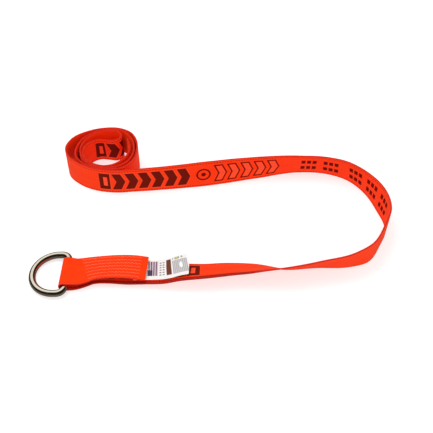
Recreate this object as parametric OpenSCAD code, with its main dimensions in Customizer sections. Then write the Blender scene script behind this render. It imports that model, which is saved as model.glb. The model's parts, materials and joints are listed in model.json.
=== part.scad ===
// Flat web sling: one long woven lifting web with a stitched eye holding a steel D-ring.
// Set down on level ground: the splice lies flat, the web then tips up on edge, turns
// back on itself and ends in a loose roll. Origin: ground point under the D-ring's bar.
// X runs from the bar along the splice, Z is up.

/* [Node] */
// Sub-part to draw

/* [Web] */
// Width of the web
web_w = 50; // [46:1:51]
// Thickness of the web
web_t = 2.5; // [2:0.1:2.7]
// Gap left at each place where the web bends
flex_gap = 1; // [0.8:0.1:1.6]

/* [D-ring] */
// Diameter of the ring rod
rod_d = 10; // [8:0.5:10]
// Clear width inside the ring
ring_inner_w = 60; // [58:1:66]
// Distance from the bar's axis to the crown's axis
ring_depth = 50.5; // [49:0.5:56]
// Corner radius between bar and bow, on the rod's axis
ring_corner_r = 11; // [9:1:11]
// Turn of the ring about the vertical within its eye
ring_yaw = 0.5; // [-2.5:0.5:2.5]

/* [Splice] */
// Play between the rod and the web that wraps it
eye_play = 0.5; // [0.4:0.1:0.7]
// Number of lengthwise rows of stitches
stitch_rows = 7; // [5:1:9]
// Width of the stitched block
stitch_block_w = 40; // [30:1:44]
// Width of a stitch row
thread_w = 0.9; // [0.6:0.1:1.2]
// Height of a stitch row above the web
thread_h = 0.4; // [0.3:0.1:0.6]

/* [Label] */
// Width of the label
label_w = 43; // [30:1:43]
// Thickness of the label
label_t = 0.5; // [0.4:0.1:0.8]

/* [Hidden] */
$fn = 48;
rod_r = rod_d / 2;
thread_gap = 0.15;
label_gap = 0.4;

// Web route seen from above: [x, y, lean]. Lean is 90 where the web lies flat and
// 0 where it stands on edge. The first row only sets the direction at the bar.
run_rows = [
  [-15, 2.5, 90],
  [0, 0, 90],
  [15, 1.2, 90],
  [34, 6.2, 86.5],
  [64, 7, 83],
  [94, 6, 81.5],
  [116, 5, 79.5],
  [146, 2.4, 74],
  [170, 0.8, 64.5],
  [197, 0.8, 60],
  [230, 3.2, 57.5],
  [269, 3, 52.5],
  [313, -1, 36.5],
  [364, 5.2, 28],
  [411, 11.5, 16],
  [441, 25.5, 5.5],
  [462, 57.7, 2.5],
  [476, 93, 2],
  [469, 132, 6],
  [450, 168, -4],
  [424, 193, -11],
  [392, 205, -14],
  [349, 208, -14],
  [285, 200, -3],
  [195, 185, 5],
  [140, 177, 2]
];
BAR = 1;
SPLICE_END = 6;
FLEX_LOWER = 9;
FLEX_TURN_IN = 12;
FLEX_BEND = 17;
FLEX_TURN_OUT = 23;
FLEX_UPPER = 25;

// Roll, as offsets from its centre: three loose turns, a hairpin, then the inner turn.
// A third number is the lean, where the web does not stand upright.
roll_centre = [34, 218];
roll_turn_1 = [
  [51, -47], [27, -49], [-9, -44], [-37.5, -29.5], [-52, -14.5], [-57, 4], [-48, 25],
  [-27, 40], [-1, 48], [24, 48], [44.5, 37], [54, 20]
];
roll_turn_2 = [
  [56, -3], [51.5, -25], [37, -41], [16, -45], [-8, -41], [-29, -30], [-40, -13],
  [-39, 8], [-31, 25], [-15, 39], [8, 46], [31, 42], [44, 28], [51, 7]
];
roll_turn_3 = [
  [50, -12], [40, -31], [24, -40], [5, -41], [-14, -35], [-28, -22], [-33, -7],
  [-33, 7], [-24, 27], [-10, 38], [9, 43]
];
roll_hairpin = [
  [23, 41], [29, 30], [27.5, 27.4, -2], [21, 22.2, -5], [5, 22.8, -6.5], [-7, 23.8, -6.5]
];
roll_inner = [
  [-22, 15.2, -4], [-28, 4], [-29, -12], [-23, -24], [-11, -33], [7, -38], [21, -35],
  [34, -25], [41, -15], [45, 2], [39, 23]
];
roll_rows = concat(roll_turn_1, roll_turn_2, roll_turn_3, roll_hairpin, roll_inner);
function lean_of(p) = is_undef(p.z) ? 0 : p.z;
route = concat(
  run_rows,
  [for (p = roll_rows) [roll_centre.x + p.x, roll_centre.y + p.y, lean_of(p)]]
);
last_row = len(route) - 1;

// Smooth curve through the route rows, spaced by the straight distance between rows
chord = [for (i = [0:last_row - 1]) norm([route[i + 1].x - route[i].x, route[i + 1].y - route[i].y])];
slope = [for (i = [0:last_row - 1]) (route[i + 1] - route[i]) / chord[i]];
function row_slope(i) =
  i == 0 ? slope[0]
  : i == last_row ? slope[last_row - 1]
  : (slope[i - 1] * chord[i] + slope[i] * chord[i - 1]) / (chord[i] + chord[i - 1]);
slopes = [for (i = [0:last_row]) row_slope(i)];

function route_at(q) =
  let (i = max(0, min(last_row - 1, floor(q))), u = q - i, h = chord[i])
  (2 * u ^ 3 - 3 * u ^ 2 + 1) * route[i]
  + (u ^ 3 - 2 * u ^ 2 + u) * h * slopes[i]
  + (3 * u ^ 2 - 2 * u ^ 3) * route[i + 1]
  + (u ^ 3 - u ^ 2) * h * slopes[i + 1];
function heading(q) =
  let (a = route_at(q - 0.01), b = route_at(q + 0.01))
  atan2(b.y - a.y, b.x - a.x);

// Directions across the web (bottom edge to top edge) and out of its upper face
function side(h) = [sin(h), -cos(h), 0];
function across(h, lean) = cos(lean) * [0, 0, 1] + sin(lean) * side(h);
function face_out(h, lean) = sin(lean) * [0, 0, 1] - cos(lean) * side(h);
function rest_height(lean) = web_w / 2 * abs(cos(lean)) + web_t / 2 * abs(sin(lean));

// A station is [centre, across, out]. v moves it across the web, n moves it out.
function web_station(q, v = 0, n = 0) =
  let (p = route_at(q), h = heading(q), w = across(h, p.z), o = face_out(h, p.z))
  [[p.x, p.y, rest_height(p.z)] + v * w + n * o, w, o];

// Row position that lies a short distance before or after row i
function before(i, d) = i - d / chord[i - 1];
function after(i, d) = i + d / chord[i];

// Row positions from a to b with about one station every step millimetres
function spread(a, b, step) =
  [
    for (i = [floor(a):ceil(b) - 1])
      let (lo = max(a, i), hi = min(b, i + 1), n = max(1, ceil((hi - lo) * chord[i] / step)))
      for (k = [0:n - 1]) lo + (hi - lo) * k / n,
    b
  ];

// Solid strip through a list of stations
function strip_point(s, v, n) = s[0] + v * s[1] + n * s[2];
function quad(a, b, c, d) = [[a, b, c], [a, c, d]];
module strip(stations, w, t) {
  count = len(stations);
  points = [
    for (s = stations)
      each [
        strip_point(s, -w / 2, -t / 2),
        strip_point(s, w / 2, -t / 2),
        strip_point(s, w / 2, t / 2),
        strip_point(s, -w / 2, t / 2)
      ]
  ];
  sides = [
    for (i = [0:count - 2], k = [0:3])
      each quad(4 * i + k, 4 * i + (k + 1) % 4, 4 * i + 4 + (k + 1) % 4, 4 * i + 4 + k)
  ];
  end = 4 * (count - 1);
  polyhedron(points, concat(sides, quad(3, 2, 1, 0), quad(end, end + 1, end + 2, end + 3)));
}

// Eye: the fold round the bar and the upper ply that lies back over the web
bar_z = web_t + eye_play + rod_r;
fold_r = rod_r + eye_play + web_t / 2;
fold_x = -0.8;
eye_turn = -2;
fold_steps = 16;
upper_ply_rise = [2 * fold_r, 10.8, 8, 9.9, 9.8, web_t + 3.6];
upper_ply_tip = [0, -2.5, -5.8, -4.3, -1.3, 1.2];
function row_value(list, i) = list[max(0, min(len(list) - 1, i))];
function smooth_row(list, q) =
  let (
    i = max(0, min(len(list) - 2, floor(q))),
    u = q - i,
    a = row_value(list, i - 1),
    b = list[i],
    c = list[i + 1],
    d = row_value(list, i + 2)
  )
  b + (c - a) / 2 * u + (2 * a - 5 * b + 4 * c - d) / 2 * u ^ 2 + (3 * b - a - 3 * c + d) / 2 * u ^ 3;
function upper_station(q) =
  let (
    s = web_station(q, 0, smooth_row(upper_ply_rise, q - BAR)),
    lean = route_at(q).z + smooth_row(upper_ply_tip, q - BAR)
  )
  [s[0], across(heading(q), lean), -face_out(heading(q), lean)];
function fold_station(a) =
  let (forward = [cos(eye_turn), sin(eye_turn), 0], up = [0, 0, 1])
  [
    (fold_x - fold_r * sin(a)) * forward + (bar_z + fold_r * cos(a)) * up,
    side(eye_turn),
    sin(a) * forward - cos(a) * up
  ];
eye_stations = concat(
  [for (q = spread(BAR + 0.35, SPLICE_END, 5)) upper_station(SPLICE_END + BAR + 0.35 - q)],
  [for (k = [0:fold_steps]) fold_station(180 * k / fold_steps)],
  [for (q = spread(BAR + 0.35, before(FLEX_LOWER, flex_gap / 2), 6)) web_station(q)]
);

module eye_web()
  color([0.93, 0.2, 0.07])
    strip(eye_stations, web_w, web_t);

// One length of web between two bends
module web_length(from_row, to_row, step) {
  color([0.93, 0.2, 0.07])
    strip([for (q = spread(from_row, to_row, step)) web_station(q)], web_w, web_t);
}
module flex_length(i, j, step)
  web_length(after(i, flex_gap / 2), before(j, flex_gap / 2), step);

module lower_web() flex_length(FLEX_LOWER, FLEX_TURN_IN, 8);
module turn_in_web() flex_length(FLEX_TURN_IN, FLEX_BEND, 8);
module turn_out_web() flex_length(FLEX_BEND, FLEX_TURN_OUT, 8);
module upper_web() flex_length(FLEX_TURN_OUT, FLEX_UPPER, 10);
module roll_web() web_length(after(FLEX_UPPER, flex_gap / 2), last_row, 5);

// Stitching: rows on the upper ply and the same rows under the web
stitch_start = 2.6;
stitch_stop = 5.6;
stitch_out = web_t / 2 + thread_gap + thread_h / 2;
function row_shift(k) = stitch_block_w * (k / (stitch_rows - 1) - 0.5);
function over_row(q, v) = let (s = upper_station(q)) [s[0] + v * s[1] - stitch_out * s[2], s[1], -s[2]];
function under_row(q, v) = web_station(q, v, -stitch_out);
module splice_stitching() {
  color([0.98, 0.36, 0.12]) {
    for (k = [0:stitch_rows - 1])
      strip([for (q = spread(stitch_start, stitch_stop, 5)) over_row(q, row_shift(k))], thread_w, thread_h);
    for (k = [0:stitch_rows - 1])
      strip([for (q = spread(stitch_start, stitch_stop, 5)) under_row(q, row_shift(k))], thread_w, thread_h);
  }
}

// Label: a tab caught between the plies, and a stiff flap that hangs out over the web.
// The flap leaves the splice with the web's lean and levels out towards its free end.
label_shift = -2;
label_end_shift = -1;
label_tab_in = 0.8;
label_flap_out = 8.27;
label_end_lift = 9.7;
label_end_twist = 17.5;
label_end_turn = 7;
label_rise = web_t / 2 + label_gap + label_t / 2;
function ease(u) = u * u * (3 - 2 * u);
function flap_part(q) = ease(max(0, min(1, (q - SPLICE_END) / (label_flap_out - SPLICE_END))));
function label_station(q) =
  let (
    e = flap_part(q),
    s = web_station(q, label_shift + (label_end_shift - label_shift) * e, label_rise + label_end_lift * e),
    h = heading(q) + label_end_turn * e,
    lean = route_at(q).z + label_end_twist * e
  )
  [s[0], across(h, lean), face_out(h, lean)];
module label_strip(a, b)
  color([0.93, 0.93, 0.91])
    strip([for (q = spread(a, b, 5)) label_station(q)], label_w, label_t);
module label_tab() label_strip(SPLICE_END - label_tab_in, before(SPLICE_END, 0.3));
module label_flap() label_strip(after(SPLICE_END, 0.8), label_flap_out);

// D-ring: straight bar, two corners and a half-round bow, resting its crown on the ground
bow_r = ring_inner_w / 2 + rod_r;
bow_x = -(ring_depth - bow_r);
corner_y = bow_r - ring_corner_r;
bow_leg = max(0, -bow_x - ring_corner_r);
ring_tilt = asin((bar_z - rod_r) / ring_depth);
module rod_arc(r, from, turn)
  rotate([0, 0, from])
    rotate_extrude(angle = turn)
      translate([r, 0])
        circle(r = rod_r);
module rod_straight(length)
  rotate([90, 0, 0])
    cylinder(r = rod_r, h = length, center = true);
module d_ring()
  color([0.72, 0.7, 0.66])
    translate([0, 0, bar_z])
      rotate([0, -ring_tilt, eye_turn + ring_yaw]) {
        rod_straight(2 * corner_y);
        for (m = [0, 1])
          mirror([0, m, 0])
            translate([-ring_corner_r, corner_y, 0]) {
              rod_arc(ring_corner_r, 0, 90);
              if (bow_leg > 0)
                translate([-bow_leg / 2, ring_corner_r, 0])
                  rotate([0, 0, 90])
                    rod_straight(bow_leg);
            }
        translate([bow_x, 0, 0])
          rod_arc(bow_r, 90, 180);
      }

d_ring();
eye_web();
splice_stitching();
label_tab();
label_flap();
lower_web();
turn_in_web();
turn_out_web();
upper_web();
roll_web();
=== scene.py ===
"""Looks of a flat web sling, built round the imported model.

The web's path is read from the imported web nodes, so every piece follows the frame.
Lengths are metres. Shader coordinates along and across the web are millimetres.
"""

import json
import math

import bpy
import numpy as np
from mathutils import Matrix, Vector

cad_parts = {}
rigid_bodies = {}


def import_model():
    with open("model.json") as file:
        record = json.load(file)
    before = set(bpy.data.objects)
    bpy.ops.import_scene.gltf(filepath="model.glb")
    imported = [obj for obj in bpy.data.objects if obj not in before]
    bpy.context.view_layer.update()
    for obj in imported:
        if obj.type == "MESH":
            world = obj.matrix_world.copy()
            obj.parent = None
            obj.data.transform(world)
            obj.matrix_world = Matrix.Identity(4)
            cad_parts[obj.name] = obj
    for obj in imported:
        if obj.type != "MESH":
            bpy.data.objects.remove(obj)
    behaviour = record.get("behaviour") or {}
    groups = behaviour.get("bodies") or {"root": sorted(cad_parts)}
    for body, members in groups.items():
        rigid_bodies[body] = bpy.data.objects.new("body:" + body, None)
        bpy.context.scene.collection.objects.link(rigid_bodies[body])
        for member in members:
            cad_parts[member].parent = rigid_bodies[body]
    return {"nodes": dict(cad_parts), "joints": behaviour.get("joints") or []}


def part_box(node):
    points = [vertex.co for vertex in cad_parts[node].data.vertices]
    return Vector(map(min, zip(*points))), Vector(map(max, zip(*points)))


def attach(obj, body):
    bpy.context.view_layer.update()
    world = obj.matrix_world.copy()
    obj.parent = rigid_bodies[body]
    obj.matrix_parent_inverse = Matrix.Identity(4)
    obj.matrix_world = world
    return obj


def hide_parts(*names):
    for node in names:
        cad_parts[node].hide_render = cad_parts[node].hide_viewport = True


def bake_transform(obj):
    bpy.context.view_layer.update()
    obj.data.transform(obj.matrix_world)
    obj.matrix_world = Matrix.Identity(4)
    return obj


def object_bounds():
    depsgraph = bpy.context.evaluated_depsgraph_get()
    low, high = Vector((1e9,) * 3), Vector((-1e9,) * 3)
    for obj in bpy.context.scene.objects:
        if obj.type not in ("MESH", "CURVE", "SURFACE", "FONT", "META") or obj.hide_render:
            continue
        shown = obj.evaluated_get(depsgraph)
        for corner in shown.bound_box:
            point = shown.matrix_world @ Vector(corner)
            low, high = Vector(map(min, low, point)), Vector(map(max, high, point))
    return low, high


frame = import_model()
CAD_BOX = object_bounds()
MM = 0.001

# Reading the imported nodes: points are rounded to WELD_PLACES, and lengths match within NEAR
WELD_PLACES = 6
NEAR = 4e-6

# The web: its size, the spacing of its cross-sections, its ribs and its selvedges. A point
# lies on a flat face where its side is beyond FLAT_SIDE
WEB_W = 50 * MM
WEB_T = 2.5 * MM
SECTION_STEP = 3 * MM
SECTION_TURN = math.radians(4)
RIBS = 24
RIB_POINTS = 4
RIB_DEPTH = 0.09 * MM
SELVEDGE_R = 0.42 * WEB_T
SELVEDGE_STEPS = 5
FLAT_SIDE = 0.999

# A length on each side of a hinge; nothing bends the web over it
FLEX_HALF = 15 * MM

# Small faults of real web: its width wanders (share, wavelength) and heat thins the cut ends
WANDER_LONG = (0.003, 17 * MM)
WANDER_SHORT = (0.0025, 7.3 * MM)
END_THINNED = 0.35
END_THINNED_OVER = 2.5 * MM

# Near edge of the lower run: where it curls down and where it rises, from the bar along the
# web as start, full, fading and end
CURL_SPAN = (60 * MM, 95 * MM, 215 * MM, 275 * MM)
CURL_DEPTH = 1.3 * MM
CURL_FROM = 16 * MM
RISE_SPAN = (6 * MM, 22 * MM, 45 * MM, 80 * MM)
RISE_HEIGHT = 2.0 * MM

# Sewing. Thread lies in a furrow, sunk by the share THREAD_SUNK of its depth. STITCH_RISE is
# how far the points of one stitch stand out from there, in mm
STITCH_ROWS = 7
STITCH_BLOCK_W = 40 * MM
STITCH_LENGTH = 2.6 * MM
STITCH_ZIGZAG = 1.0 * MM
STITCH_INSET = (5 * MM, 1.5 * MM)
STITCH_RISE = (-0.35, 0.10, 0.26, 0.10, -0.35)
STITCH_STEPS = len(STITCH_RISE) - 1
THREAD_R = 0.42 * MM
THREAD_SIDES = 6
THREAD_SUNK = 0.6
GROOVE_DEPTH = 0.35 * MM
GROOVE_HALF_W = 1.6 * MM
GROOVE_SHARPNESS = 1.4
GROOVE_FADE = 1.5 * MM

# The label. A corner is its length along the label and its depth across it, LABEL_SKEW is the
# slant of the print, and LABEL_FLEX is a length before and after the hinge, which bends nothing
LABEL_W = 43 * MM
LABEL_T = 0.5 * MM
LABEL_STEP = 1.2 * MM
LABEL_PANELS = 10
LABEL_PANEL_POINTS = 4
LABEL_CURL = 1.0 * MM
LABEL_CURL_FROM = 0.6
LABEL_WAVE = 0.12 * MM
LABEL_WAVE_TURNS = 7.0
LABEL_WAVE_SLANT = 12 * MM
LABEL_SKEW = 0.145
LABEL_FAR_CORNER = (5 * MM, 11 * MM)
LABEL_NEAR_CORNER = (1.5 * MM, 1.5 * MM)
LABEL_FLEX = (2 * MM, 3 * MM)

# Woven print, in mm: where the bold marks end along the web, and the length of one repeat
PRINT_REPEAT = 843.5
PRINT_ENDS = (195.0, 1038.5, 1855.0)
PAST_THE_WEB = 1000

WEB_NODES = ("eye_web", "lower_web", "turn_in_web", "turn_out_web", "upper_web", "roll_web")


# ---- Path of the web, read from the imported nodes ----

def welded(node):
    """A node's separate points, and the pairs of points that its edges join."""
    mesh = frame["nodes"][node].data
    co = np.array([v.co for v in mesh.vertices])
    points, index = np.unique(np.round(co, WELD_PLACES), axis=0, return_inverse=True)
    index = index.ravel()
    pairs = {(int(index[e.vertices[0]]), int(index[e.vertices[1]])) for e in mesh.edges}
    return points, pairs


def sections(points, width, thickness):
    """Every cross-section of a strip, as four point numbers: two edges joined by the width."""
    apart = np.linalg.norm(points[:, None] - points[None, :], axis=2)
    wide = abs(apart - width) < NEAR
    thin = abs(apart - thickness) < NEAR
    cross = abs(apart - math.hypot(width, thickness)) < NEAR
    found = {}
    for i, j in zip(*np.nonzero(np.triu(wide))):
        for k in np.nonzero(thin[i])[0]:
            for m in np.nonzero(thin[j])[0]:
                if wide[k, m] and cross[i, m] and cross[j, k]:
                    found[frozenset((i, j, k, m))] = (i, j, k, m)
    return list(found.values())


def chain(node, width, thickness):
    """Centres of a strip's cross-sections in order, and the direction across each."""
    points, pairs = welded(node)
    found = sections(points, width, thickness)
    owner = {p: n for n, section in enumerate(found) for p in section}
    beside = [set() for _ in found]
    for a, b in pairs:
        if a in owner and b in owner and owner[a] != owner[b]:
            beside[owner[a]].add(owner[b])
            beside[owner[b]].add(owner[a])
    at = next(n for n, b in enumerate(beside) if len(b) == 1)
    order = [at]
    seen = {at}
    while True:
        onward = [n for n in beside[order[-1]] if n not in seen]
        if not onward:
            break
        order.append(onward[0])
        seen.add(onward[0])
    centres = []
    across = []
    for n in order:
        i, j, k, m = found[n]
        centres.append(points[[i, j, k, m]].mean(0))
        across.append((points[j] - points[i]) / width)
    return np.array(centres), np.array(across)


def joined(nodes, width, thickness):
    """The chains of several nodes as one line, and where each node's part of it lies."""
    chains = [chain(n, width, thickness) for n in nodes]
    first_ends = chains[0][0][[0, -1]]
    next_ends = chains[1][0][[0, -1]]
    gap = np.linalg.norm(first_ends[:, None] - next_ends[None, :], axis=2).min(1)
    centres, across = chains[0] if gap[0] > gap[1] else (chains[0][0][::-1], chains[0][1][::-1])
    parts = [(0, len(centres))]
    for c, w in chains[1:]:
        if np.linalg.norm(c[0] - centres[-1]) > np.linalg.norm(c[-1] - centres[-1]):
            c = c[::-1]
            w = w[::-1]
        parts.append((len(centres), len(centres) + len(c)))
        centres = np.vstack([centres, c])
        across = np.vstack([across, w])
    return centres, across, parts


class Line:
    """A smooth line through cross-sections, with the directions across it and out of it."""

    def __init__(self, centres, across, up_at):
        self.centres = centres
        steps = np.linalg.norm(np.diff(centres, axis=0), axis=1)
        self.s = np.concatenate([[0], np.cumsum(steps)])
        across = across.copy()
        for i in range(1, len(across)):
            if across[i] @ across[i - 1] < 0:
                across[i] = -across[i]
        self.across = across
        out = np.cross(across[up_at], self.direction(self.s[up_at:up_at + 1])[0])
        if out[2] < 0:
            self.across = -across

    def spline(self, values, s, slope=False):
        """Cubic through the values at s, or its slope."""
        knots = self.s
        h = np.diff(knots)[:, None]
        rise = np.diff(values, axis=0) / h
        inner = (rise[:-1] * h[1:] + rise[1:] * h[:-1]) / (h[1:] + h[:-1])
        m = np.vstack([rise[:1], inner, rise[-1:]])
        i = np.clip(np.searchsorted(knots, s, side="right") - 1, 0, len(knots) - 2)
        h = h[i]
        u = ((s - knots[i])[:, None]) / h
        a = values[i]
        b = values[i + 1]
        if slope:
            return (
                (6 * u * u - 6 * u) * (a - b) / h
                + (3 * u * u - 4 * u + 1) * m[i]
                + (3 * u * u - 2 * u) * m[i + 1]
            )
        return (
            (2 * u ** 3 - 3 * u ** 2 + 1) * a
            + (u ** 3 - 2 * u ** 2 + u) * h * m[i]
            + (3 * u ** 2 - 2 * u ** 3) * b
            + (u ** 3 - u ** 2) * h * m[i + 1]
        )

    def direction(self, s):
        t = self.spline(self.centres, s, slope=True)
        return t / np.linalg.norm(t, axis=1)[:, None]

    def at(self, s):
        """Centre, across, out and forward at each s."""
        c = self.spline(self.centres, s)
        t = self.direction(s)
        w = self.spline(self.across, s)
        w = w - (w * t).sum(1)[:, None] * t
        w /= np.linalg.norm(w, axis=1)[:, None]
        return c, w, np.cross(w, t), t

    def samples(self, first, last, step=SECTION_STEP, turn=SECTION_TURN):
        """Places along the line from knot first to knot last, closer together on a bend."""
        t = self.direction(self.s)
        places = []
        for i in range(first, last):
            bend = math.acos(max(-1.0, min(1.0, float(t[i] @ t[i + 1]))))
            length = self.s[i + 1] - self.s[i]
            n = max(1, math.ceil(length / step), math.ceil(bend / turn))
            places += [self.s[i] + length * k / n for k in range(n)]
        return np.array(places + [self.s[last]])


centres, across, PARTS = joined(WEB_NODES, WEB_W, WEB_T)
eye_last = PARTS[0][1] - 1
WEB = Line(centres, across, up_at=eye_last)
fold_knot = int(np.argmin(centres[:PARTS[0][1], 0]))
lower_ply = range(fold_knot, PARTS[0][1])
BAR_S = float(np.interp(0.0, centres[lower_ply, 0], WEB.s[lower_ply]))


def travel_mm(s):
    """Distance from the bar along the web, in mm. In the roll the print's repeat is matched."""
    d = (np.asarray(s) - BAR_S) / MM
    print_at = [PRINT_ENDS[0] + k * PRINT_REPEAT for k in range(3)]
    return np.interp(
        d,
        [-PAST_THE_WEB, *PRINT_ENDS, PRINT_ENDS[2] + PAST_THE_WEB],
        [-PAST_THE_WEB, *print_at, print_at[2] + PAST_THE_WEB],
    )


# ---- Meshes ----

def new_mesh(name, points, faces, attribute=None, smooth=None):
    """An object from points and faces. attribute holds three numbers for each point."""
    mesh = bpy.data.meshes.new(name)
    mesh.from_pydata([tuple(p) for p in points], [], faces)
    mesh.polygons.foreach_set("use_smooth", smooth if smooth is not None else [True] * len(faces))
    if attribute is not None:
        layer = mesh.attributes.new("strip", "FLOAT_VECTOR", "POINT")
        layer.data.foreach_set("vector", np.asarray(attribute, np.float32).ravel())
    mesh.validate()
    mesh.update()
    piece = bpy.data.objects.new(name, mesh)
    bpy.context.scene.collection.objects.link(piece)
    return piece


def outline(width, thickness, ribs, rib_points, edge_r, edge_steps):
    """Cross-section of a strip: across, out, and side (1 on the upper face, -1 on the other)."""
    flat = width / 2 - edge_r
    v = np.linspace(-flat, flat, ribs * rib_points + 1)
    n = np.full_like(v, thickness / 2)
    angle = np.linspace(0, math.pi, edge_steps + 2)[1:-1]
    edge_v = flat + edge_r * np.sin(angle)
    edge_n = thickness / 2 * np.cos(angle)
    side = np.ones_like(v)
    edge_side = np.cos(angle)
    return (
        np.concatenate([v, edge_v, v[::-1], -edge_v]),
        np.concatenate([n, edge_n, -n, -edge_n]),
        np.concatenate([side, edge_side, -side, -edge_side]),
    )


def rib_relief(v, side):
    """How far the furrows between the lengthwise ribs lie under the face."""
    pitch = (WEB_W - 2 * SELVEDGE_R) / RIBS
    from_selvedge = v + WEB_W / 2 - SELVEDGE_R
    furrow = 0.5 - 0.5 * np.cos(2 * math.pi * from_selvedge / pitch)
    return np.where(abs(side) > FLAT_SIDE, RIB_DEPTH * furrow, 0)


def smooth_step(x, low, high):
    u = np.clip((x - low) / (high - low), 0, 1)
    return u * u * (3 - 2 * u)


def sweep(name, line, s, profile, shape, attribute):
    """A closed strip along line. shape changes a section's across and out before it's placed."""
    v, n, side = profile
    count = len(v)
    c, w, out, _ = line.at(s)
    grid_s = np.repeat(s[:, None], count, axis=1)
    grid_side = np.tile(side, (len(s), 1))
    grid_v, grid_n = shape(grid_s, np.tile(v, (len(s), 1)), np.tile(n, (len(s), 1)), grid_side)
    points = c[:, None] + grid_v[..., None] * w[:, None] + grid_n[..., None] * out[:, None]
    marks = np.stack([attribute(grid_s), grid_v / MM, grid_side], axis=-1)
    faces = []
    for i in range(len(s) - 1):
        a = i * count
        b = a + count
        for k in range(count):
            m = (k + 1) % count
            faces.append((a + k, b + k, b + m, a + m))
    points = points.reshape(-1, 3)
    marks = marks.reshape(-1, 3)
    smooth = [True] * len(faces)
    total = len(points)
    last = (len(s) - 1) * count
    points = np.vstack([points, points[:count], points[last:]])
    marks = np.vstack([marks, marks[:count], marks[last:]])
    faces.append(tuple(range(total, total + count)))
    faces.append(tuple(range(total + 2 * count - 1, total + count - 1, -1)))
    smooth += [False, False]
    return new_mesh(name, points, faces, marks, smooth)


# ---- Shader helper ----

# Width of the soft edge round a printed mark, in mm
SOFT_EDGE = 0.25


class Value:
    """A shader value that can be used in sums."""

    def __init__(self, shader, socket):
        self.shader = shader
        self.socket = socket

    def __add__(self, other):
        return self.shader.math("ADD", self, other)

    def __sub__(self, other):
        return self.shader.math("SUBTRACT", self, other)

    def __rsub__(self, other):
        return self.shader.math("SUBTRACT", other, self)

    def __mul__(self, other):
        return self.shader.math("MULTIPLY", self, other)

    __radd__ = __add__

    def __abs__(self):
        return self.shader.math("ABSOLUTE", self)

    def repeat(self, length):
        """The remainder after whole lengths, always positive."""
        return self.shader.math("FLOORED_MODULO", self, length)

    def under(self, limit, soft=SOFT_EDGE):
        """1 where this is under limit, with an edge soft wide."""
        return self.shader.math("MULTIPLY_ADD", limit - self, 1 / soft, 0.5, clamp=True)

    def between(self, low, high, soft=SOFT_EDGE):
        """1 where this is from low to high."""
        return (abs(self - (low + high) / 2)).under((high - low) / 2, soft)

    def both(self, other):
        return self.shader.math("MINIMUM", self, other)

    def either(self, other):
        return self.shader.math("MAXIMUM", self, other)

    def sine(self):
        return self.shader.math("SINE", self)


class Shader:
    """A material and short ways to add nodes to it."""

    def __init__(self, name):
        self.material = bpy.data.materials.new(name)
        self.material.use_nodes = True
        self.tree = self.material.node_tree
        self.surface = self.tree.nodes["Principled BSDF"]

    def put(self, socket, value):
        if isinstance(value, Value):
            self.tree.links.new(value.socket, socket)
        else:
            socket.default_value = value

    def math(self, operation, a, b=0.0, c=0.0, clamp=False):
        node = self.tree.nodes.new("ShaderNodeMath")
        node.operation = operation
        node.use_clamp = clamp
        for socket, value in zip(node.inputs, (a, b, c)):
            self.put(socket, value)
        return Value(self, node.outputs[0])

    def mix(self, share, a, b):
        node = self.tree.nodes.new("ShaderNodeMix")
        node.data_type = "RGBA"
        self.put(node.inputs[0], share)
        for socket, value in ((node.inputs[6], a), (node.inputs[7], b)):
            self.put(socket, value if isinstance(value, Value) else (*value, 1.0))
        return Value(self, node.outputs[2])

    def strip(self):
        """Along, across and side of a strip, from its mesh."""
        attribute = self.tree.nodes.new("ShaderNodeAttribute")
        attribute.attribute_name = "strip"
        split = self.tree.nodes.new("ShaderNodeSeparateXYZ")
        self.tree.links.new(attribute.outputs["Vector"], split.inputs[0])
        return [Value(self, split.outputs[k]) for k in range(3)]

    def vector(self, x, y, z=0.0):
        node = self.tree.nodes.new("ShaderNodeCombineXYZ")
        for socket, value in zip(node.inputs, (x, y, z)):
            self.put(socket, value)
        return Value(self, node.outputs[0])

    def place(self):
        """The point's place in the frame."""
        node = self.tree.nodes.new("ShaderNodeTexCoord")
        return Value(self, node.outputs["Object"])

    def noise(self, vector, scale, detail=2.0, rough=0.5):
        node = self.tree.nodes.new("ShaderNodeTexNoise")
        self.tree.links.new(vector.socket, node.inputs["Vector"])
        node.inputs["Scale"].default_value = scale
        node.inputs["Detail"].default_value = detail
        node.inputs["Roughness"].default_value = rough
        return Value(self, node.outputs[0])

    def bump(self, height, strength, distance):
        node = self.tree.nodes.new("ShaderNodeBump")
        node.inputs["Strength"].default_value = strength
        node.inputs["Distance"].default_value = distance
        self.tree.links.new(height.socket, node.inputs["Height"])
        self.tree.links.new(node.outputs[0], self.surface.inputs["Normal"])

    def finish(self, **inputs):
        for name, value in inputs.items():
            self.put(self.surface.inputs[name.replace("_", " ")], value)
        return self.material


# ---- Materials ----

ORANGE = (0.98, 0.050, 0.0015)
ORANGE_DEEP = (0.80, 0.014, 0.0008)
# Painted shade colours: the next two darken the selvedges and the near edge beside the eye
SELVEDGE_PAINTED_SHADE = (0.55, 0.009, 0.004)
SHADED_RED = (0.27, 0.005, 0.003)
ORANGE_WORN = (1.0, 0.26, 0.16)
PRINT_DARK = (0.055, 0.0008, 0.0012)
HALO = (1.0, 0.15, 0.07)
THREAD_RED = (1.0, 0.17, 0.06)
THREAD_PINK = (1.0, 0.27, 0.13)
THREAD_SHADE = (0.80, 0.06, 0.015)
SHEEN_TINT = (1.0, 0.34, 0.12, 1.0)
LABEL_WHITE = (0.88, 0.87, 0.86)
LABEL_SOILED = (0.72, 0.71, 0.70)
LABEL_MAUVE = (0.42, 0.30, 0.38)
LABEL_PLUM = (0.15, 0.06, 0.12)
LABEL_NAVY = (0.02, 0.012, 0.05)
LABEL_BLACK = (0.05, 0.05, 0.05)
LABEL_BROWN = (0.13, 0.032, 0.015)
LABEL_GREY = (0.26, 0.26, 0.27)
LABEL_PALE = (0.85, 0.85, 0.85)
LABEL_OLIVE = (0.12, 0.14, 0.07)
LABEL_GREEN = (0.38, 0.44, 0.07)
STEEL_LIGHT = (0.70, 0.64, 0.56)
STEEL_DARK = (0.56, 0.50, 0.42)
STEEL_WORN = (0.42, 0.38, 0.32)
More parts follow.
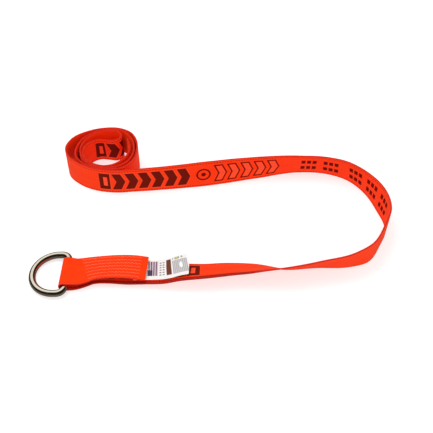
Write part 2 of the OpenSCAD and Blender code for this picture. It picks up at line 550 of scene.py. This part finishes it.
FLOOR_LIGHT = (0.52, 0.52, 0.52)
FLOOR_DARK = (0.49, 0.49, 0.49)
FLOOR_SHADE_IN_MIRRORS = (0.16, 0.15, 0.11)
FLOOR_GLOW = 0.62

# Layout of the woven print in mm: spans from where a repeat starts, and half widths
MARK_HALF_W = 17.0
FRAME_SPAN = (0.5, 17.5)
FRAME_WINDOW = (7.0, 13.5)
FRAME_WINDOW_HALF_W = 9.5
FRAME_HALO = (-0.6, 18.6)
FRAME_HALO_HALF_W = 18.0
CHEVRON_SLANT = 0.42
ROW_TRIM = 2.0
BOLD_START = 27.0
BOLD_COUNT = 6
BOLD_PITCH = 20.5
BOLD_SPAN = (0.5, 14.5)
BOLD_HALO = (-0.6, 15.6)
BOLD_HALO_HALF_W = 18.2
ICON_AT = 165.0
ICON_RING = (9.0, 11.6)
ICON_DOT_R = 3.6
OPEN_START = 188.0
OPEN_COUNT = 5
OPEN_PITCH = 21.2
OPEN_SPAN = (0.5, 15.0)
OPEN_HOLE = (2.8, 12.7)
OPEN_HOLE_HALF_W = 14.6
DASH_PITCH = 9.0
DASH_SPAN = (1.0, 7.4)
DASH_ROW_AT = 8.2
DASH_HALF_W = 4.4
WORD_PITCH = 36.0
WORD_LENGTH = 27.0
WORD_GROUPS = ((322.0, 2), (402.0, 3))

# The web's weave in mm: the length of a pick and of a twill line, the two dashed tracer lines,
# the shaded near edge beside the eye, and the worn edges
PICK_LENGTH = 1.25
TWILL_LENGTH = 2.5
TRACER_AT = (20.9, 22.2)
TRACER_PITCH = 4.4
SHADED_ACROSS = (20.0, 30.0)
SHADED_ALONG = (4.0, 285.0)
WORN_AT = (23.4, 26.0)

# Layout of the label's print in mm: spans along it from the splice, and across it. A pair for
# a pitch or a place is along, then across
BAND_ALONG = (1.0, 15.4)
BAND_ACROSS = (-18.0, 13.5)
BAND_PITCH = 3.6
CORNER_ALONG = (-0.5, 7.0)
CORNER_ACROSS = (1.0, 13.5)
NOTES_ALONG = (17.2, 26.6)
NOTES_ACROSS = (-17.0, 13.5)
NOTES_PITCH = (4.7, 5.2)
BROWN_BAR_ALONG = (28.0, 35.8)
BROWN_BAR_ACROSS = (-18.0, 14.5)
LINES_FROM = 37.8
LINES_STOP = 1.8
LINES_ACROSS = (-13.0, 15.0)
LINES_PITCH = 2.6
PILL_AT = (51.0, -1.0)
PILL_R = 2.4
PILL_SQUEEZE = 0.16
HEAD_ALONG = (38.5, 58.0)
HEAD_ACROSS = (-19.0, -15.0)
HEAD_PITCH = 5.2
TICK_ALONG = (43.0, 48.0)
TICK_ACROSS = (-19.0, -14.0)


def print_marks(sh, along, v):
    """Plain woven marks: a framed bar, solid chevrons, a ringed dot, open chevrons and dashes."""
    d = (PRINT_ENDS[0] - along).repeat(PRINT_REPEAT)
    height = abs(v)
    slant = height * CHEVRON_SLANT
    tall = height.under(MARK_HALF_W)

    bar = d.between(*FRAME_SPAN).both(tall)
    window = d.between(*FRAME_WINDOW).both(height.under(FRAME_WINDOW_HALF_W))
    bar_halo = d.between(*FRAME_HALO).both(height.under(FRAME_HALO_HALF_W))

    bold_d = d + slant - BOLD_START
    bold_in = bold_d.between(0.0, BOLD_COUNT * BOLD_PITCH - ROW_TRIM)
    bold_step = bold_d.repeat(BOLD_PITCH)
    bold = bold_step.between(*BOLD_SPAN).both(tall).both(bold_in)
    bold_halo = bold_step.between(*BOLD_HALO).both(height.under(BOLD_HALO_HALF_W)).both(bold_in)

    icon_x = d - ICON_AT
    radius = sh.math("SQRT", icon_x * icon_x + v * v)
    icon = radius.between(*ICON_RING).either(radius.under(ICON_DOT_R))

    open_d = d + slant - OPEN_START
    open_in = open_d.between(0.0, OPEN_COUNT * OPEN_PITCH - ROW_TRIM)
    open_step = open_d.repeat(OPEN_PITCH)
    solid = open_step.between(*OPEN_SPAN).both(tall)
    hole = open_step.between(*OPEN_HOLE).both(height.under(OPEN_HOLE_HALF_W))
    opened = solid.both(1.0 - hole).both(open_in)
    light = hole.both(open_in)

    def words(start, count):
        """count groups of three dashes."""
        e = d - start
        dash = e.repeat(DASH_PITCH).between(*DASH_SPAN)
        word = e.repeat(WORD_PITCH).between(0.0, WORD_LENGTH)
        row_length = WORD_PITCH * count - (WORD_PITCH - WORD_LENGTH)
        return dash.both(word).both(e.between(0.0, row_length))

    rows = abs(height - DASH_ROW_AT).under(DASH_HALF_W)
    first_words, second_words = (words(*group) for group in WORD_GROUPS)
    small = first_words.either(second_words).both(rows)
    dark = bar.both(1.0 - window).either(bold).either(icon).either(opened).either(small)
    return dark, bar_halo.either(bold_halo).either(light)


def web_cloth():
    """Ribbed orange web printed on one face, with painted shade on its selvedges and by the eye.
    """
    sh = Shader("web_cloth")
    along, v, side = sh.strip()
    height = abs(v)
    pick = (along * (2 * math.pi / PICK_LENGTH)).sine()
    twill = (along * (2 * math.pi / TWILL_LENGTH) + abs(v.repeat(4.0) - 2.0) * 2.6).sine()
    weave = pick * 0.35 + twill * 0.65
    streak = sh.noise(sh.vector(along * 0.02, v * 1.3, side), 1.0, 3.0, 0.6)
    blotch = sh.noise(sh.vector(along * 0.03, v * 0.05, side), 1.0, 2.0)
    fuzz = sh.noise(sh.vector(along * 1.1, v * 1.1, side), 1.6, 3.0, 0.7)

    tone = weave * 0.10 + (streak - 0.5) * 0.9 + (blotch - 0.5) * 0.5 + 0.30
    colour = sh.mix(sh.math("MAXIMUM", sh.math("MINIMUM", tone, 1.0), 0.0), ORANGE, ORANGE_DEEP)
    # Painted shade: the rounded selvedges are darkened, as though the lamps light them less
    edge = abs(side).under(0.93, 0.12)
    colour = sh.mix(edge * 0.9, colour, SELVEDGE_PAINTED_SHADE)
    # Painted shade: a dark red band along the near edge beside the eye
    painted_near_edge_shade = v.between(*SHADED_ACROSS, 3.0).both(along.between(*SHADED_ALONG, 30.0))
    colour = sh.mix(painted_near_edge_shade * 0.85, colour, SHADED_RED)
    worn = height.between(*WORN_AT, 0.5).both(fuzz.between(0.58, 1.2, 0.1))
    colour = sh.mix(worn * 0.25, colour, ORANGE_WORN)

    face = (0.0 - side).under(-0.5, 0.2)
    tracer_step = along.repeat(TRACER_PITCH)
    tracer = height.between(*TRACER_AT, 0.4).both(tracer_step.between(0.8, 3.4))
    centre = height.under(0.35, 0.3).both(tracer_step.between(0.4, 3.2))
    dark, halo = print_marks(sh, along, v)
    colour = sh.mix(halo.both(face) * 0.30, colour, HALO)
    lines = (tracer * 0.75).either(centre * 0.35).either(dark * 0.97)
    thread_gap = fuzz * 0.14 + weave * 0.03 + 0.86
    colour = sh.mix(lines.both(face) * thread_gap, colour, PRINT_DARK)

    shine = 1.0 - dark.both(face) * 0.8
    sh.bump(weave * 0.5 + fuzz * 0.6 + dark.both(face) * 0.4, 0.55, 0.00025)
    return sh.finish(
        Base_Color=colour,
        Roughness=0.50 + fuzz * 0.22,
        Specular_IOR_Level=shine * 0.08,
        Sheen_Weight=shine * 0.09,
        Sheen_Roughness=0.40,
        Sheen_Tint=SHEEN_TINT,
    )


def sewing_thread():
    """Twisted thread, a little paler than the web."""
    sh = Shader("sewing_thread")
    along, turn, _ = sh.strip()
    twist = (along * 7.0 + turn * 2.0).sine()
    shade = sh.noise(sh.place(), 900.0, 2.0)
    colour = sh.mix(shade, THREAD_RED, THREAD_PINK)
    colour = sh.mix(twist * 0.2 + 0.2, colour, THREAD_SHADE)
    sh.bump(twist, 0.5, 0.0001)
    return sh.finish(Base_Color=colour, Roughness=0.42 + twist * 0.05, Sheen_Weight=0.3)


def label_cloth(end_mm):
    """Printed label. Along is the distance from the splice, across is 0 on the middle line."""
    sh = Shader("label_cloth")
    strip_along, v, _ = sh.strip()
    along = strip_along - v * LABEL_SKEW
    grain = sh.noise(sh.vector(along * 2.2, v * 2.2), 1.0, 3.0, 0.6)
    soil = sh.noise(sh.vector(along * 0.12, v * 0.12), 1.0, 2.0)
    colour = sh.mix(soil, LABEL_WHITE, LABEL_SOILED)

    band = v.between(*BAND_ACROSS).both(along.between(*BAND_ALONG))
    colour = sh.mix(band * 0.6, colour, LABEL_MAUVE)
    stripe = (along - BAND_ALONG[0]).repeat(BAND_PITCH).between(0.0, BAND_PITCH / 2)
    colour = sh.mix(band.both(stripe), colour, LABEL_PLUM)
    corner = along.between(*CORNER_ALONG).both(v.between(*CORNER_ACROSS))
    colour = sh.mix(corner * 0.9, colour, LABEL_NAVY)

    notes = along.between(*NOTES_ALONG).both(v.between(*NOTES_ACROSS))
    dot_along = (along - NOTES_ALONG[0]).repeat(NOTES_PITCH[0]).between(0.4, 3.4)
    dots = v.repeat(NOTES_PITCH[1]).between(0.8, 3.4).both(dot_along)
    colour = sh.mix(notes.both(dots) * (grain * 0.5 + 0.5), colour, LABEL_BLACK)

    bar = along.between(*BROWN_BAR_ALONG).both(v.between(*BROWN_BAR_ACROSS))
    colour = sh.mix(bar, colour, LABEL_BROWN)

    fine = along.between(LINES_FROM, end_mm - LINES_STOP).both(v.between(*LINES_ACROSS))
    lines = (along - LINES_FROM).repeat(LINES_PITCH).between(0.4, 1.7)
    colour = sh.mix(fine * (lines * 0.40 + 0.42), colour, LABEL_GREY)
    pill_x = along - PILL_AT[0]
    pill_v = v - PILL_AT[1]
    pill = sh.math("SQRT", pill_x * pill_x + pill_v * pill_v * PILL_SQUEEZE).under(PILL_R)
    colour = sh.mix(pill, colour, LABEL_PALE)
    head = along.between(*HEAD_ALONG).both(v.between(*HEAD_ACROSS))
    head = head.both(along.repeat(HEAD_PITCH).between(0.6, 3.6))
    colour = sh.mix(head * 0.7, colour, LABEL_OLIVE)
    tick = along.between(*TICK_ALONG).both(v.between(*TICK_ACROSS))
    colour = sh.mix(tick * 0.8, colour, LABEL_GREEN)

    sh.bump(grain, 0.25, 0.0001)
    return sh.finish(Base_Color=colour, Roughness=0.42 + grain * 0.2, Specular_IOR_Level=0.3)


def plated_steel():
    """Smooth plating with faint clouds and worn patches."""
    sh = Shader("plated_steel")
    place = sh.place()
    cloud = sh.noise(place, 60.0, 3.0)
    fine = sh.noise(place, 900.0, 2.0)
    wear = sh.noise(place, 160.0, 4.0, 0.65).between(0.60, 1.2, 0.12)
    colour = sh.mix(cloud, STEEL_LIGHT, STEEL_DARK)
    colour = sh.mix(wear * 0.35, colour, STEEL_WORN)
    sh.bump(fine * 0.3 + cloud, 0.10, 0.0002)
    return sh.finish(Base_Color=colour, Metallic=1.0, Roughness=cloud * 0.06 + wear * 0.10 + 0.06)


def pale_floor():
    """Near white with a faint glow. Mirrors see it darker and olive, a painted shade for the floor
    that the D-ring reflects.
    """
    sh = Shader("pale_floor")
    cloud = sh.noise(sh.place(), 3.0, 2.0)
    colour = sh.mix(cloud, FLOOR_LIGHT, FLOOR_DARK)
    path = sh.tree.nodes.new("ShaderNodeLightPath")
    mirrored = Value(sh, path.outputs["Is Glossy Ray"])
    # Painted shade in reflections: glossy rays see the floor dark and olive
    seen = sh.mix(mirrored, colour, FLOOR_SHADE_IN_MIRRORS)
    glow = (1.0 - mirrored) * FLOOR_GLOW
    return sh.finish(
        Base_Color=seen, Roughness=0.9, Emission_Color=(1.0, 1.0, 1.0, 1.0), Emission_Strength=glow
    )


# ---- Web ----

stitch_low, stitch_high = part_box("splice_stitching")
upper_ply = range(0, fold_knot)
STITCH_SPANS = []
for ply in (upper_ply, lower_ply):
    x = centres[ply, 0]
    order = np.argsort(x)
    reach = [stitch_low.x + STITCH_INSET[0], stitch_high.x - STITCH_INSET[1]]
    ends = np.interp(reach, x[order], WEB.s[ply][order])
    STITCH_SPANS.append((min(ends), max(ends)))
ROW_V = [STITCH_BLOCK_W * (k / (STITCH_ROWS - 1) - 0.5) for k in range(STITCH_ROWS)]
WEB_START = WEB.s[0]
WEB_END = WEB.s[-1]


def edge_curl(s, v):
    """How far the near edge of the lower run curls down. Beside the eye it rises instead."""
    from_bar = s - BAR_S

    def span(start, full, fade, stop):
        return smooth_step(from_bar, start, full) * (1 - smooth_step(from_bar, fade, stop))

    curl = CURL_DEPTH * span(*CURL_SPAN) * smooth_step(v, CURL_FROM, WEB_W / 2)
    return curl - RISE_HEIGHT * span(*RISE_SPAN) * smooth_step(v, 0, WEB_W / 2)


def web_shape(s, v, n, side):
    """Ribs, stitch furrows on the two outer faces of the splice, and heat-cut ends."""
    n = n - np.sign(n) * rib_relief(v, side)
    sewn = sum(
        smooth_step(s, a - GROOVE_FADE, a + GROOVE_FADE)
        * (1 - smooth_step(s, b - GROOVE_FADE, b + GROOVE_FADE))
        for a, b in STITCH_SPANS
    )
    furrow = sum(np.exp(-((v - row) / GROOVE_HALF_W * GROOVE_SHARPNESS) ** 2) for row in ROW_V)
    n = n + np.where(side < -FLAT_SIDE, GROOVE_DEPTH * sewn * np.clip(furrow, 0, 1), 0)
    n = n - edge_curl(s, v)
    to_end = np.minimum(s - WEB_START, WEB_END - s)
    pinch = 1 - END_THINNED * (1 - smooth_step(to_end, 0, END_THINNED_OVER))
    long_wave = WANDER_LONG[0] * np.sin(s / WANDER_LONG[1])
    short_wave = WANDER_SHORT[0] * np.sin(s / WANDER_SHORT[1] + 1.0)
    return v * (1 + long_wave + short_wave), n * pinch


def web_piece(name, first, last, bodies, nodes, material):
    """The web between two knots. The hinge of its two bodies is looked up but not used."""
    profile = outline(WEB_W, WEB_T, RIBS, RIB_POINTS, SELVEDGE_R, SELVEDGE_STEPS)
    piece = sweep(name, WEB, WEB.samples(first, last), profile, web_shape, travel_mm)
    piece.data.materials.append(material)
    hinge = next(j for j in frame["joints"] if {j["parent"], j["child"]} == set(bodies))
    pos = np.array(hinge["pos_m"])
    knot = int(np.argmin(np.linalg.norm(WEB.centres - pos, axis=1)))
    along = WEB.direction(WEB.s[knot:knot + 1])[0]
    pos - FLEX_HALF * along
    pos + FLEX_HALF * along
    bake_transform(piece)
    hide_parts(*nodes)
    return piece


cloth = web_cloth()
middle = [(a + b) // 2 for a, b in PARTS]
web_piece("web_eye", 0, middle[1], ("eye", "lower"), ("eye_web",), cloth)
web_piece("web_lower", middle[1], middle[2], ("lower", "turn_in"), ("lower_web",), cloth)
web_piece("web_turn_in", middle[2], middle[3], ("turn_in", "turn_out"), ("turn_in_web",), cloth)
web_piece("web_turn_out", middle[3], middle[4], ("turn_out", "upper"), ("turn_out_web",), cloth)
last_bodies = ("upper", "roll")
web_piece("web_roll", middle[4], len(centres) - 1, last_bodies, ("upper_web", "roll_web"), cloth)


# ---- Stitches ----

def stitch_points(start, v, swing):
    """Middle line of one stitch over the outer face, as (s, across, out) rows."""
    return [
        (
            start + STITCH_LENGTH * k / STITCH_STEPS,
            v + swing * (k / STITCH_STEPS - 0.5) * 2 * STITCH_ZIGZAG,
            -(WEB_T / 2) - rise * MM + GROOVE_DEPTH * THREAD_SUNK,
        )
        for k, rise in enumerate(STITCH_RISE)
    ]


def thread_tube(points, side_dir, out_dir):
    """Points, shader marks and faces of a closed tube round a stitch's middle line."""
    sides = THREAD_SIDES
    rings = []
    marks = []
    for k, p in enumerate(points):
        for j in range(sides):
            a = 2 * math.pi * j / sides
            rings.append(p + THREAD_R * (math.cos(a) * side_dir[k] + math.sin(a) * out_dir[k]))
            marks.append((k * STITCH_LENGTH / STITCH_STEPS / MM, a, 0))
    faces = []
    for k in range(len(points) - 1):
        for j in range(sides):
            m = (j + 1) % sides
            faces.append((k * sides + j, k * sides + m, (k + 1) * sides + m, (k + 1) * sides + j))
    faces.append(tuple(range(sides))[::-1])
    faces.append(tuple((len(points) - 1) * sides + j for j in range(sides)))
    return rings, marks, faces


def stitching():
    """Zigzag rows on both outer faces of the splice, as one piece."""
    points = []
    marks = []
    faces = []
    for low, high in STITCH_SPANS:
        count = int((high - low) / STITCH_LENGTH)
        for row in ROW_V:
            for k in range(count):
                line = np.array(stitch_points(low + k * STITCH_LENGTH, row, 1 if k % 2 else -1))
                c, w, out, _ = WEB.at(line[:, 0])
                height = line[:, 2] - edge_curl(line[:, 0], line[:, 1])
                middle_line = c + line[:, 1:2] * w + height[:, None] * out
                ring, mark, face = thread_tube(middle_line, w, out)
                base = len(points)
                points += ring
                marks += mark
                faces += [tuple(base + i for i in f) for f in face]
    piece = new_mesh("splice_stitches", points, faces, marks)
    piece.data.materials.append(sewing_thread())
    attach(piece, "eye")
    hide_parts("splice_stitching")


stitching()


# ---- Label ----

label_centres, label_across, label_parts = joined(("label_tab", "label_flap"), LABEL_W, LABEL_T)
LABEL = Line(label_centres, label_across, up_at=len(label_centres) - 1)
label_joint = next(j for j in frame["joints"] if j["child"] == "label")
label_hinge = np.array(label_joint["pos_m"])
hinge_knot = label_parts[1][0]
LABEL_HINGE_S = LABEL.s[hinge_knot]
LABEL_LENGTH = LABEL.s[-1] - LABEL_HINGE_S


def label_shape(s, v, n, side):
    """The free end has rounded corners, and its far corner curls up a little."""
    u = np.clip((s - LABEL_HINGE_S) / LABEL_LENGTH, 0, 1)
    far = smooth_step(-v, -0.1 * LABEL_W, 0.5 * LABEL_W)
    curl = LABEL_CURL * smooth_step(u, LABEL_CURL_FROM, 1.0) * far
    ripple = np.sin(u * LABEL_WAVE_TURNS + v / LABEL_WAVE_SLANT)
    wave = LABEL_WAVE * ripple * smooth_step(u, 0.1, 0.4)
    length = np.where(v < 0, LABEL_FAR_CORNER[0], LABEL_NEAR_CORNER[0])
    depth = np.where(v < 0, LABEL_FAR_CORNER[1], LABEL_NEAR_CORNER[1])
    past = np.clip(1 - (1 - u) * LABEL_LENGTH / length, 0, 1)
    inset = depth * (1 - np.sqrt(1 - past ** 2))
    return v * (1 - 2 * inset / LABEL_W), n + curl + wave


def label():
    """The label from inside the splice to its free end, past the splice's cut end."""
    profile = outline(LABEL_W, LABEL_T, LABEL_PANELS, LABEL_PANEL_POINTS, LABEL_T / 2, 1)
    s = LABEL.samples(0, len(label_centres) - 1, step=LABEL_STEP)
    piece = sweep("label", LABEL, s, profile, label_shape, lambda q: (q - LABEL_HINGE_S) / MM)
    piece.data.materials.append(label_cloth(LABEL_LENGTH / MM))
    along = LABEL.direction(np.array([LABEL_HINGE_S]))[0]
    before, after = LABEL_FLEX
    start = label_hinge - before * along
    label_hinge + after * along
    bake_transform(piece)
    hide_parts("label_tab", "label_flap")


label()


# ---- D-ring ----

ring = frame["nodes"]["d_ring"]
ring.data.materials.clear()
ring.data.materials.append(plated_steel())


# ---- Floor, light and camera ----

SKY_STRENGTH = 0.72
BACKDROP = (1.4, 1.4, 1.4, 1)
# What a mirror sees of the sky, by how near it looks to MIRROR_UP: dark below MIRROR_EDGE
MIRROR_UP = (-0.22, 0.52, 0.83)
MIRROR_EDGE = (0.80, 0.87)
MIRROR_DARK = ((0.03, 0.03, 0.025, 1), (0.012, 0.012, 0.012, 1))
MIRROR_LIT = (1.7, 1.7, 1.6, 1)
FLOOR_HALF = 12.0
FLOOR_BELOW = 0.4 * MM
# The camera looks at a point CAMERA_AIM away from the middle of the CAD box, on the ground
CAMERA_LENS = 66.93
CAMERA_ELEVATION = math.radians(48.5)
CAMERA_REACH = 1.25
CAMERA_AIM = (0.0053, 0.0032, 0)
low, high = CAD_BOX
middle_point = Vector(((low.x + high.x) / 2, (low.y + high.y) / 2, 0))


def floor():
    """One wide plain sheet just below the sling."""
    corners = [
        middle_point + Vector((x * FLOOR_HALF, y * FLOOR_HALF, -FLOOR_BELOW))
        for x, y in ((-1, -1), (1, -1), (1, 1), (-1, 1))
    ]
    piece = new_mesh("floor", corners, [(0, 1, 2, 3)])
    piece.data.materials.append(pale_floor())


def soft_box(name, place, size, power, colour):
    """A square lamp aimed at the middle of the floor, left out of reflections."""
    lamp = bpy.data.lights.new(name, "AREA")
    lamp.shape = "SQUARE"
    lamp.size = size
    lamp.energy = power
    lamp.color = colour
    holder = bpy.data.objects.new(name, lamp)
    holder.location = middle_point + Vector(place)
    holder.rotation_euler = (-Vector(place)).to_track_quat("-Z", "Y").to_euler()
    holder.visible_glossy = False
    bpy.context.scene.collection.objects.link(holder)


def sky():
    """Even white light on a white backdrop. Mirrors see it lit only round MIRROR_UP."""
    world = bpy.data.worlds.new("studio")
    bpy.context.scene.world = world
    world.use_nodes = True
    tree = world.node_tree
    background = tree.nodes["Background"]
    path = tree.nodes.new("ShaderNodeLightPath")
    coordinate = tree.nodes.new("ShaderNodeTexCoord")
    toward = tree.nodes.new("ShaderNodeVectorMath")
    toward.operation = "DOT_PRODUCT"
    toward.inputs[1].default_value = MIRROR_UP
    ramp = tree.nodes.new("ShaderNodeValToRGB")
    mix = tree.nodes.new("ShaderNodeMix")
    mix.data_type = "RGBA"
    tree.links.new(coordinate.outputs["Generated"], toward.inputs[0])
    tree.links.new(toward.outputs["Value"], ramp.inputs[0])
    stops = ramp.color_ramp.elements
    stops[0].position = 0.0
    stops[0].color = MIRROR_DARK[0]
    stops[1].position = MIRROR_EDGE[0]
    stops[1].color = MIRROR_DARK[1]
    lit = stops.new(MIRROR_EDGE[1])
    lit.color = MIRROR_LIT
    tree.links.new(path.outputs["Is Glossy Ray"], mix.inputs[0])
    mix.inputs[6].default_value = (1, 1, 1, 1)
    tree.links.new(ramp.outputs[0], mix.inputs[7])
    seen = tree.nodes.new("ShaderNodeMix")
    seen.data_type = "RGBA"
    tree.links.new(path.outputs["Is Camera Ray"], seen.inputs[0])
    tree.links.new(mix.outputs[2], seen.inputs[6])
    seen.inputs[7].default_value = BACKDROP
    tree.links.new(seen.outputs[2], background.inputs["Color"])
    background.inputs["Strength"].default_value = SKY_STRENGTH


def camera():
    """Looks along +Y and down at the middle of the floor."""
    lens = bpy.data.cameras.new("camera")
    lens.sensor_width = 36
    lens.lens = CAMERA_LENS
    back = CAMERA_REACH * math.cos(CAMERA_ELEVATION)
    up = CAMERA_REACH * math.sin(CAMERA_ELEVATION)
    holder = bpy.data.objects.new("camera", lens)
    holder.location = middle_point + Vector(CAMERA_AIM) + Vector((0, -back, up))
    holder.rotation_euler = (math.pi / 2 - CAMERA_ELEVATION, 0, 0)
    bpy.context.scene.collection.objects.link(holder)
    bpy.context.scene.camera = holder


floor()
sky()
soft_box("key", (-0.45, 0.25, 1.5), 0.9, 12.0, (1.0, 1.0, 1.0))
soft_box("fill", (0.5, -1.3, 1.0), 1.2, 6.0, (1.0, 0.62, 0.52))
camera()
bpy.context.scene.view_settings.view_transform = "Standard"
